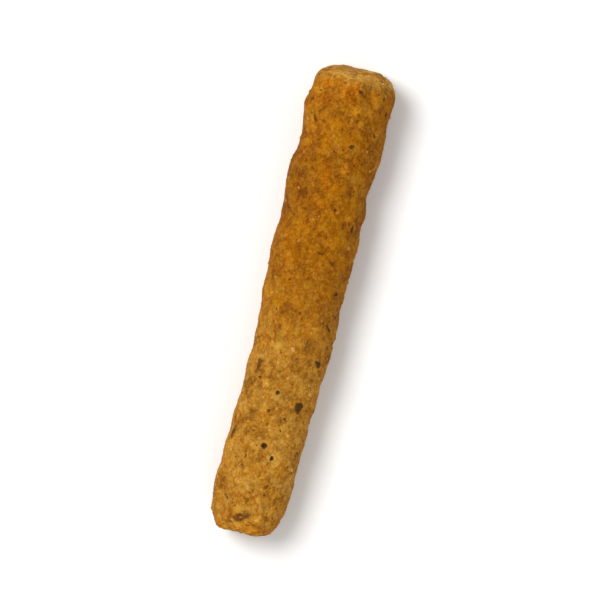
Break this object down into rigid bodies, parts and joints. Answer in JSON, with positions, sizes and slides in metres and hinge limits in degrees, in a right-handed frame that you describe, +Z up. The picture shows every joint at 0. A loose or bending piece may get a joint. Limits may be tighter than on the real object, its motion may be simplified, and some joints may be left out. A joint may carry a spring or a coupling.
{
  "type": "herb cracker stick",
  "caption": "Short thick baked cracker stick of coarse golden-brown seed dough with rounded ends, specked with dried herb flakes and pale grits, flat underneath.",
  "frame": {"origin": "middle of the stick's length and width, on the flat underside it rests on", "axes": "+X along the stick towards its thicker end, +Z up out of the flat underside, +Y to the left of the shown side when the thicker end points up the picture"},
  "size_m": [0.0898, 0.0166, 0.0154],
  "materials": {
    "baked_dough": "dry baked crumb, golden brown, browner at the ends and underneath",
    "dried_herb": "dull toasted leaf, dark olive brown",
    "pale_grit": "dull pale seed and nut grit"
  },
  "bodies": {
    "root": {"cracker_stick": "baked_dough"}
  },
  "joints": []
}
